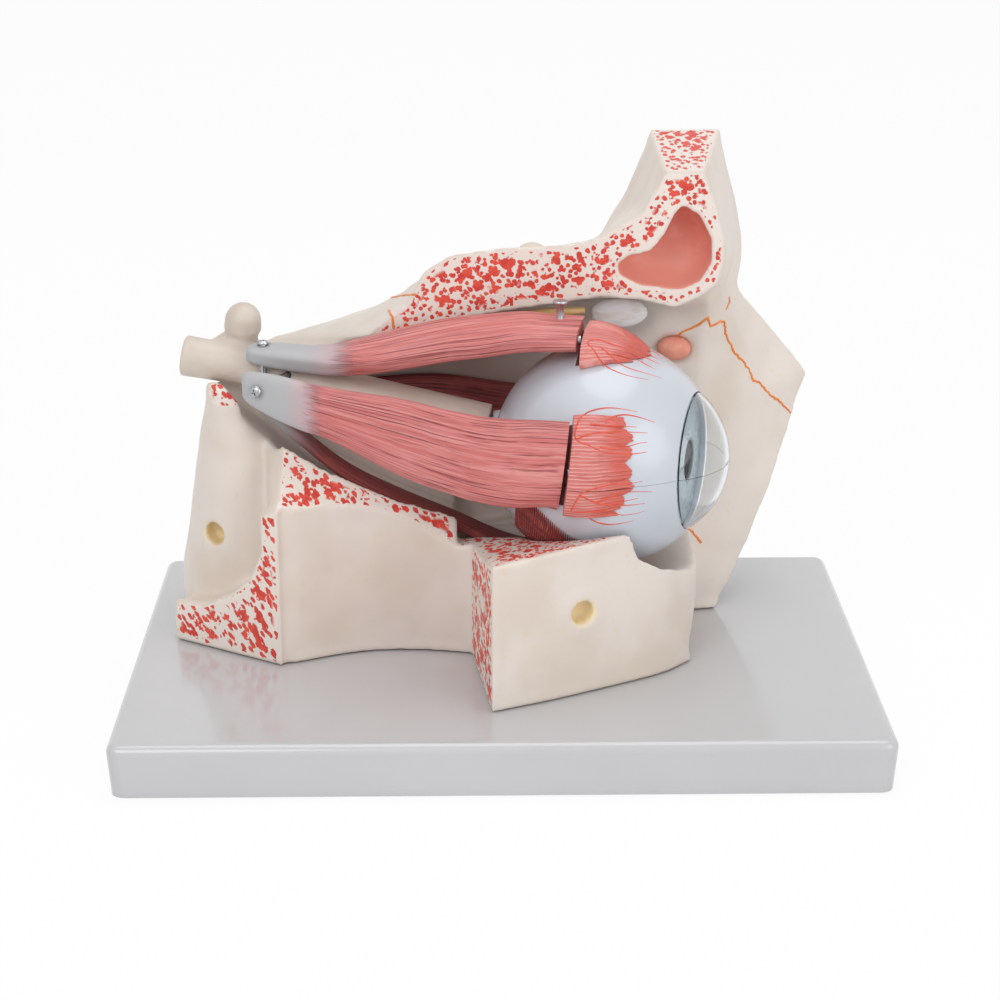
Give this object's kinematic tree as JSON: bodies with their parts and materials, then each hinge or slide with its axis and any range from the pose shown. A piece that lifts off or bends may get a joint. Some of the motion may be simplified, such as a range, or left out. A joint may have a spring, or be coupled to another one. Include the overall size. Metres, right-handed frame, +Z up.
{
  "type": "eye anatomy model",
  "caption": "Enlarged right eye with muscles and optic nerve in a cut-away bony orbit on a flat base; eyeball slides out and opens, two muscles swing on pivots.",
  "frame": {"origin": "centre of the base on the table", "axes": "+X towards the front of the eye and along the base, +Y towards the nose, +Z up; the outer side with the cut faces is -Y"},
  "size_m": [0.26, 0.18, 0.1915],
  "materials": {
    "base": "smooth glossy moulding",
    "rubber": "matt",
    "bone": "satin paint over resin",
    "nerve": "satin",
    "muscle": "satin, painted fibres",
    "dark_muscle": "satin, painted fibres",
    "yellow_nerve": "satin",
    "tendon": "satin",
    "gland": "satin",
    "sclera": "semi-gloss",
    "choroid": "satin",
    "iris": "semi-gloss",
    "clear": "clear moulding",
    "steel": "bright"
  },
  "bodies": {
    "orbit": {"base_plate": "base", "foot_front_left": "rubber", "foot_front_right": "rubber", "foot_rear_left": "rubber", "foot_rear_right": "rubber", "zygomatic_screw": "steel", "maxilla_screw": "steel", "sphenoid_screw": "steel", "nasal_screw": "steel", "frontal_bone": "bone", "nasal_bone": "bone", "cheek_bone": "bone", "sphenoid_bone": "bone", "frontal_nerve": "yellow_nerve", "trochlea": "tendon", "lacrimal_sac": "gland", "optic_nerve": "nerve", "inferior_rectus": "dark_muscle", "medial_rectus": "dark_muscle", "superior_oblique": "dark_muscle", "superior_pivot_screw": "steel", "lateral_pivot_screw": "steel"},
    "superior_muscle": {"superior_rectus": "muscle", "grip_stud": "steel", "superior_magnet": "steel"},
    "lateral_muscle": {"lateral_rectus": "muscle", "lateral_magnet": "steel"},
    "eyeball": {"sclera_lower": "sclera", "lateral_stump_lower": "muscle", "cornea_lower": "clear", "choroid_lower": "choroid", "iris_lower": "iris", "seam_pin_front": "steel", "seam_pin_rear": "steel"},
    "upper_shell": {"sclera_upper": "sclera", "superior_stump": "muscle", "lateral_stump_upper": "muscle", "cornea_upper": "clear", "superior_keeper": "steel", "lateral_keeper": "steel"},
    "upper_choroid": {"choroid_upper": "choroid", "iris_upper": "iris"},
    "vitreous": {"vitreous_body": "clear"},
    "crystalline_lens": {"lens": "clear"}
  },
  "joints": [
    {"name": "superior_rectus_swing", "type": "hinge", "parent": "orbit", "child": "superior_muscle", "pos_m": [-0.0825, 0.0108, 0.1271], "axis": [0, -0.1, -0.995], "range_deg": [0, 9]},
    {"name": "lateral_rectus_swing", "type": "hinge", "parent": "orbit", "child": "lateral_muscle", "pos_m": [-0.0836, -0.0084, 0.1156], "axis": [-0.4, -0.9165, 0], "range_deg": [0, 30]},
    {"name": "eyeball_withdraw", "type": "slide", "parent": "orbit", "child": "eyeball", "axis": [0.9925, 0, 0.1219], "range_m": [0, 0.165]},
    {"name": "upper_shell_lift", "type": "slide", "parent": "eyeball", "child": "upper_shell", "axis": [0, 0, 1], "range_m": [0, 0.0264]},
    {"name": "upper_choroid_lift", "type": "slide", "parent": "eyeball", "child": "upper_choroid", "axis": [0, 0, 1], "range_m": [0, 0.0165]},
    {"name": "vitreous_lift", "type": "slide", "parent": "eyeball", "child": "vitreous", "axis": [0, 0, 1], "range_m": [0, 0.00743]},
    {"name": "lens_draw", "type": "slide", "parent": "vitreous", "child": "crystalline_lens", "axis": [0.9511, -0.309, 0], "range_m": [0, 0.00297]}
  ],
  "couplings": [
    {"joint": "upper_shell_lift", "follows": "eyeball_withdraw", "ratio": 0.16},
    {"joint": "upper_choroid_lift", "follows": "eyeball_withdraw", "ratio": 0.1},
    {"joint": "vitreous_lift", "follows": "eyeball_withdraw", "ratio": 0.045},
    {"joint": "lens_draw", "follows": "eyeball_withdraw", "ratio": 0.018}
  ]
}
